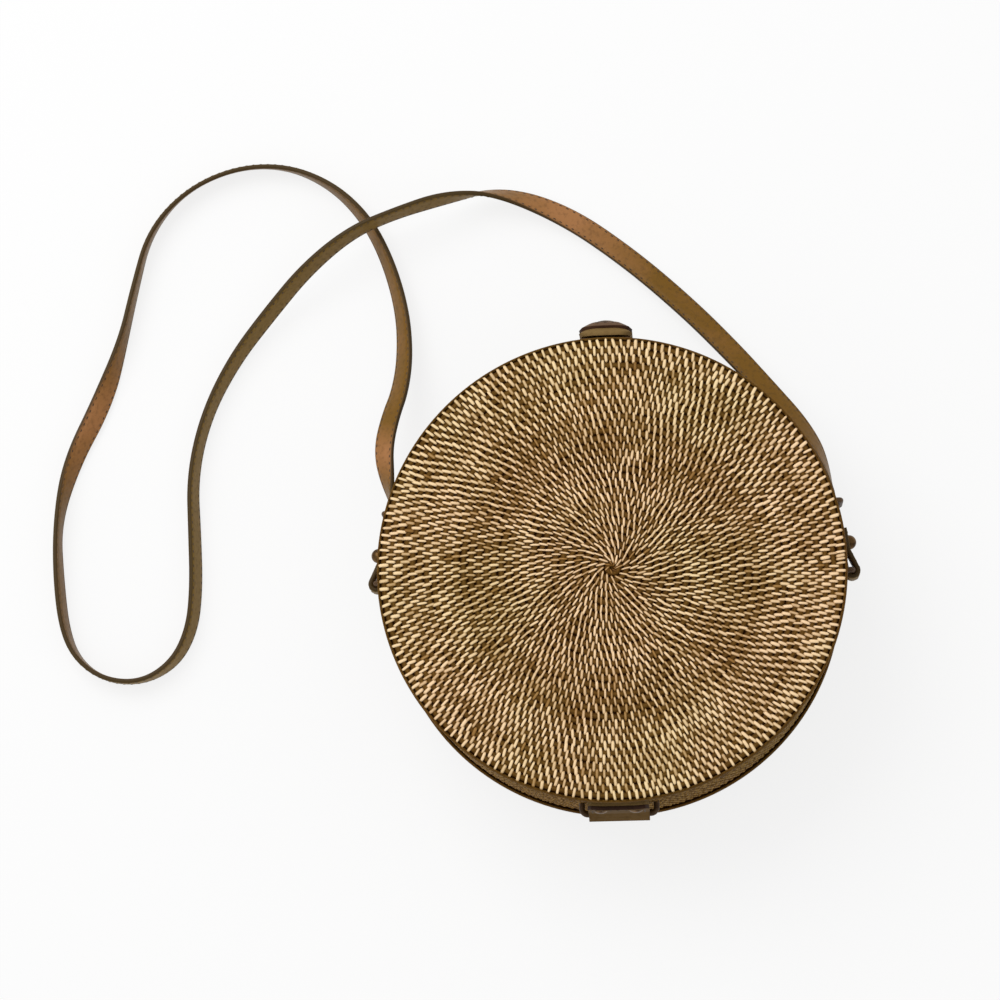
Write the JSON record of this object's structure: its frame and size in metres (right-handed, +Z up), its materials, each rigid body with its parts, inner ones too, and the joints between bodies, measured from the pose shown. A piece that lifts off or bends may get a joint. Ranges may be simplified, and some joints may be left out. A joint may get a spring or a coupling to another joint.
{
  "type": "round woven shoulder bag",
  "caption": "Round shoulder bag of coiled, stitched cane, lying on its back: two shallow halves on a leather hinge, a leather snap tab and a long, narrow leather strap.",
  "frame": {"origin": "middle of the back face, which the bag lies on", "axes": "+Z up through the round faces, from the back to the front; +Y from the hinge to the snap tab; +X to the right seen from the front"},
  "size_m": [0.3582, 0.3116, 0.076],
  "materials": {
    "cane": "coiled and stitched split cane, smoked brown, satin",
    "bar_cane": "round cane, smoked brown, satin",
    "leather": "brown leather with stitched edges, soft sheen",
    "cotton": "plain-woven natural cotton",
    "brass": "aged brass, worn satin"
  },
  "bodies": {
    "back_half": {"back_disc": "cane", "back_wall": "cane", "back_rim": "cane", "back_lining": "cotton", "hinge_bar": "bar_cane", "tab_bar": "bar_cane", "right_strap_bar": "bar_cane", "right_strap_keeper": "bar_cane", "left_strap_bar": "bar_cane", "left_strap_keeper": "bar_cane", "right_strap_end": "leather", "left_strap_end": "leather", "right_strap_stud": "brass", "left_strap_stud": "brass", "shoulder_strap": "leather"},
    "lid": {"front_disc": "cane", "front_wall": "cane", "front_rim": "cane", "front_lining": "cotton", "hinge_strap": "leather", "hinge_rivets": "brass", "stud_patch": "leather", "stud_post": "brass", "snap_stud": "brass", "stud_patch_rivets": "brass"},
    "tab": {"closure_tab": "leather", "snap_cap": "brass", "snap_socket": "brass"}
  },
  "joints": [
    {"name": "lid_hinge", "type": "hinge", "parent": "back_half", "child": "lid", "pos_m": [0, -0.1019, 0.041], "axis": [1, 0, 0], "range_deg": [0, 180]},
    {"name": "tab_hinge", "type": "hinge", "parent": "back_half", "child": "tab", "pos_m": [0, 0.1019, 0.028], "axis": [-1, 0, 0], "range_deg": [0, 120]}
  ]
}
